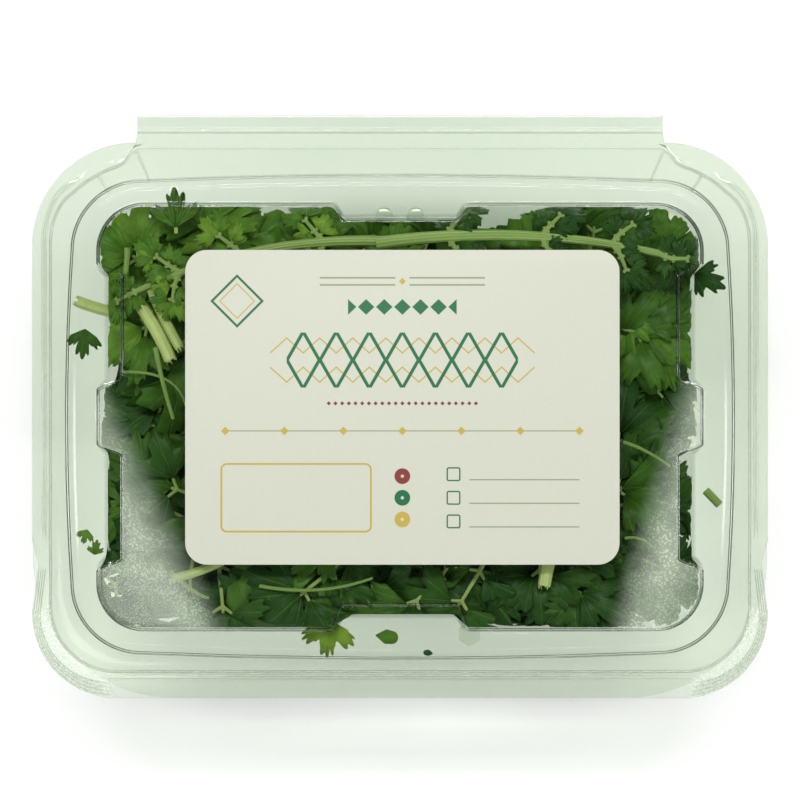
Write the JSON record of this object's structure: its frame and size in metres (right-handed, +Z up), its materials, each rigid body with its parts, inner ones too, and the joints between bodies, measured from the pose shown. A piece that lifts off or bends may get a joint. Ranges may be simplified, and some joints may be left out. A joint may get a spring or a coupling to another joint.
{
  "type": "hinged clear pack of cut flat-leaf parsley",
  "caption": "Clear hinged plastic food pack filled with cut flat-leaf parsley, with a plain cream paper label on its raised, notched lid.",
  "frame": {"origin": "on the table, under the middle of the closed pack's outline", "axes": "+X along the hinge and the long side, +Y from the front lip to the hinge, +Z up through the lid"},
  "size_m": [0.19, 0.1508, 0.0658],
  "materials": {
    "clear_sheet": "clear thermoformed plastic sheet, faintly green, glossy",
    "label_paper": "cream coated paper, satin",
    "parsley_leaf": "fresh green leaf, satin, on pale green stems",
    "parsley_stem": "fresh pale green stem, satin"
  },
  "bodies": {
    "tray": {"tray": "clear_sheet", "living_hinge": "clear_sheet", "sprig_01": "parsley_leaf", "sprig_02": "parsley_leaf", "sprig_03": "parsley_leaf", "sprig_04": "parsley_leaf", "sprig_05": "parsley_leaf", "sprig_06": "parsley_leaf", "sprig_07": "parsley_leaf", "sprig_08": "parsley_leaf", "sprig_09": "parsley_leaf", "sprig_10": "parsley_leaf", "sprig_11": "parsley_leaf", "sprig_12": "parsley_leaf", "sprig_13": "parsley_leaf", "sprig_14": "parsley_leaf", "sprig_15": "parsley_leaf", "sprig_16": "parsley_leaf", "sprig_17": "parsley_leaf", "sprig_18": "parsley_leaf", "sprig_19": "parsley_leaf", "sprig_20": "parsley_leaf", "sprig_21": "parsley_leaf", "sprig_22": "parsley_leaf", "sprig_23": "parsley_leaf", "sprig_24": "parsley_leaf", "sprig_25": "parsley_leaf", "sprig_26": "parsley_leaf", "sprig_27": "parsley_leaf", "sprig_28": "parsley_leaf", "sprig_29": "parsley_leaf", "sprig_30": "parsley_leaf", "sprig_31": "parsley_leaf", "sprig_32": "parsley_leaf", "sprig_33": "parsley_leaf", "sprig_34": "parsley_leaf", "sprig_35": "parsley_leaf", "sprig_36": "parsley_leaf", "sprig_37": "parsley_leaf", "sprig_38": "parsley_leaf", "sprig_39": "parsley_leaf", "sprig_40": "parsley_leaf", "loose_stem_01": "parsley_stem", "loose_stem_02": "parsley_stem", "loose_stem_03": "parsley_stem", "loose_stem_04": "parsley_stem", "loose_stem_05": "parsley_stem", "loose_leaf_01": "parsley_leaf", "loose_leaf_02": "parsley_leaf", "loose_leaf_03": "parsley_leaf"},
    "lid": {"lid": "clear_sheet", "label": "label_paper"}
  },
  "joints": [
    {"name": "lid_hinge", "type": "hinge", "parent": "tray", "child": "lid", "pos_m": [0, 0.07475, 0.05215], "axis": [-1, 0, 0], "range_deg": [0, 180], "deforming": ["living_hinge"]}
  ]
}
